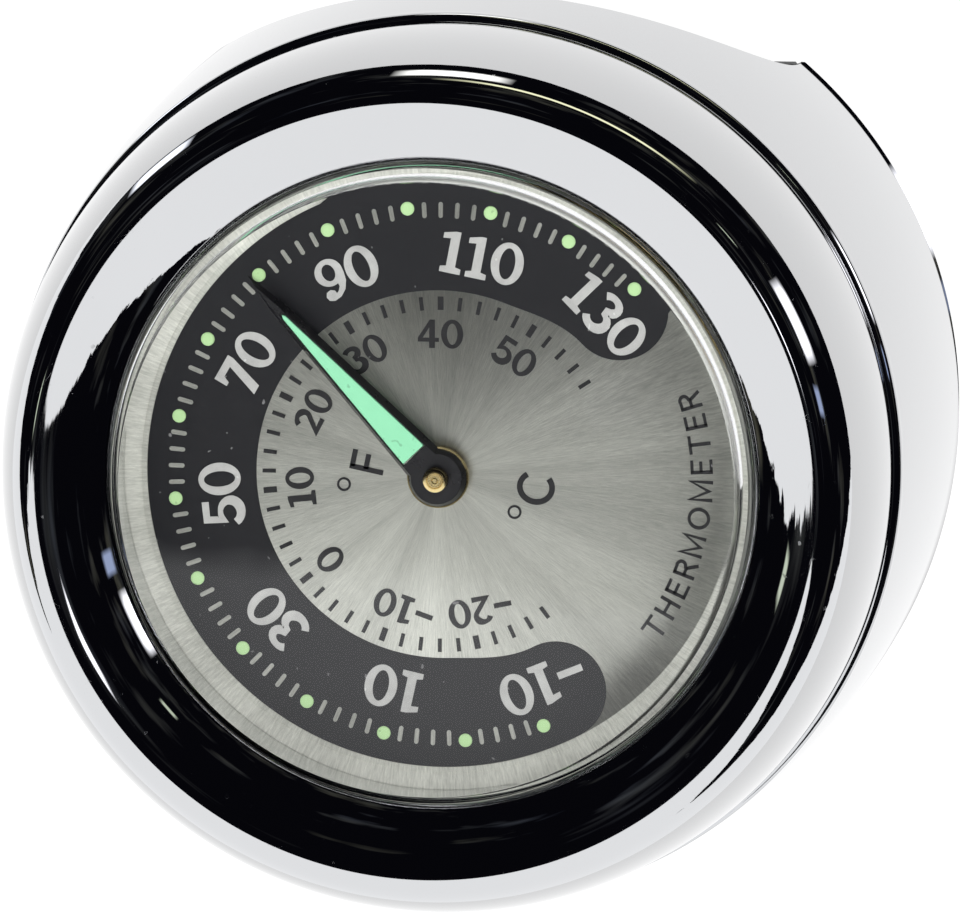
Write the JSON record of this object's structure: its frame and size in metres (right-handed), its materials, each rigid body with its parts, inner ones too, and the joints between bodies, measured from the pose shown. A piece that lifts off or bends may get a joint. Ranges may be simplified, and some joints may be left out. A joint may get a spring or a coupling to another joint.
{
  "type": "handlebar dial thermometer",
  "caption": "Round dial thermometer in a chromed two-piece clamp for a handlebar, with a bimetal movement turning the pointer over Fahrenheit and Celsius scales.",
  "frame": {"origin": "centre of the flat land under the clamp base, on the pointer's axis", "axes": "+Z out of the dial, X along the handlebar, +Y across the bar towards the top of the dial, whose twelve o'clock is turned 10.8 degrees clockwise from +Y"},
  "size_m": [0.0436, 0.0442, 0.0457],
  "materials": {
    "chrome": "mirror",
    "clamp_chrome": "mirror, lightly fingered",
    "lens_glass": "clear, polished",
    "black_rubber": "matt",
    "spacer_metal": "bright",
    "brushed_dial": "radially brushed, clear lacquer",
    "pointer_black": "satin",
    "lume": "chalky",
    "brass": "turned",
    "bimetal": "rolled",
    "tinplate": "rolled",
    "foam": "open foam",
    "screw_steel": "bright"
  },
  "bodies": {
    "housing": {"housing": "chrome", "bezel": "chrome", "lens": "lens_glass", "lens_gasket": "black_rubber", "spacer_ring": "spacer_metal", "dial_plate": "brushed_dial", "retaining_ring": "screw_steel", "bezel_o_ring": "black_rubber", "movement_cup": "tinplate", "bimetal_coil": "bimetal", "coil_stud": "brass", "front_bush": "brass", "rear_bush": "brass", "cushion_pad": "foam", "upper_liner": "black_rubber"},
    "pointer_shaft": {"pointer": "pointer_black", "pointer_lume": "lume", "pointer_collet": "brass", "arbor": "brass", "coil_collet": "brass"},
    "clamp_base": {"clamp_base": "clamp_chrome", "lower_liner": "black_rubber", "lock_washer_1": "screw_steel", "lock_washer_2": "screw_steel"},
    "clamp_screw_1": {"clamp_screw_1": "screw_steel"},
    "clamp_screw_2": {"clamp_screw_2": "screw_steel"}
  },
  "joints": [
    {"name": "pointer_turn", "type": "hinge", "parent": "housing", "child": "pointer_shaft", "pos_m": [0, 0, 0.0392], "axis": [0, 0, 1], "range_deg": [-90.36, 159.64], "stiffness_Nm_per_rad": 0.00002},
    {"name": "clamp_slide", "type": "slide", "parent": "housing", "child": "clamp_base", "axis": [0, 0, -1], "range_m": [0, 0.007]},
    {"name": "screw_turn_1", "type": "hinge", "parent": "clamp_base", "child": "clamp_screw_1", "pos_m": [0, -0.0168, 0.0104], "axis": [0, 0, -1], "range_deg": [0, 5041]},
    {"name": "screw_turn_2", "type": "hinge", "parent": "clamp_base", "child": "clamp_screw_2", "pos_m": [0, 0.0168, 0.0104], "axis": [0, 0, -1], "range_deg": [0, 5041]}
  ],
  "couplings": [
    {"joint": "screw_turn_1", "follows": "clamp_slide", "rad_per_m": 12566},
    {"joint": "screw_turn_2", "follows": "clamp_slide", "rad_per_m": 12566}
  ]
}
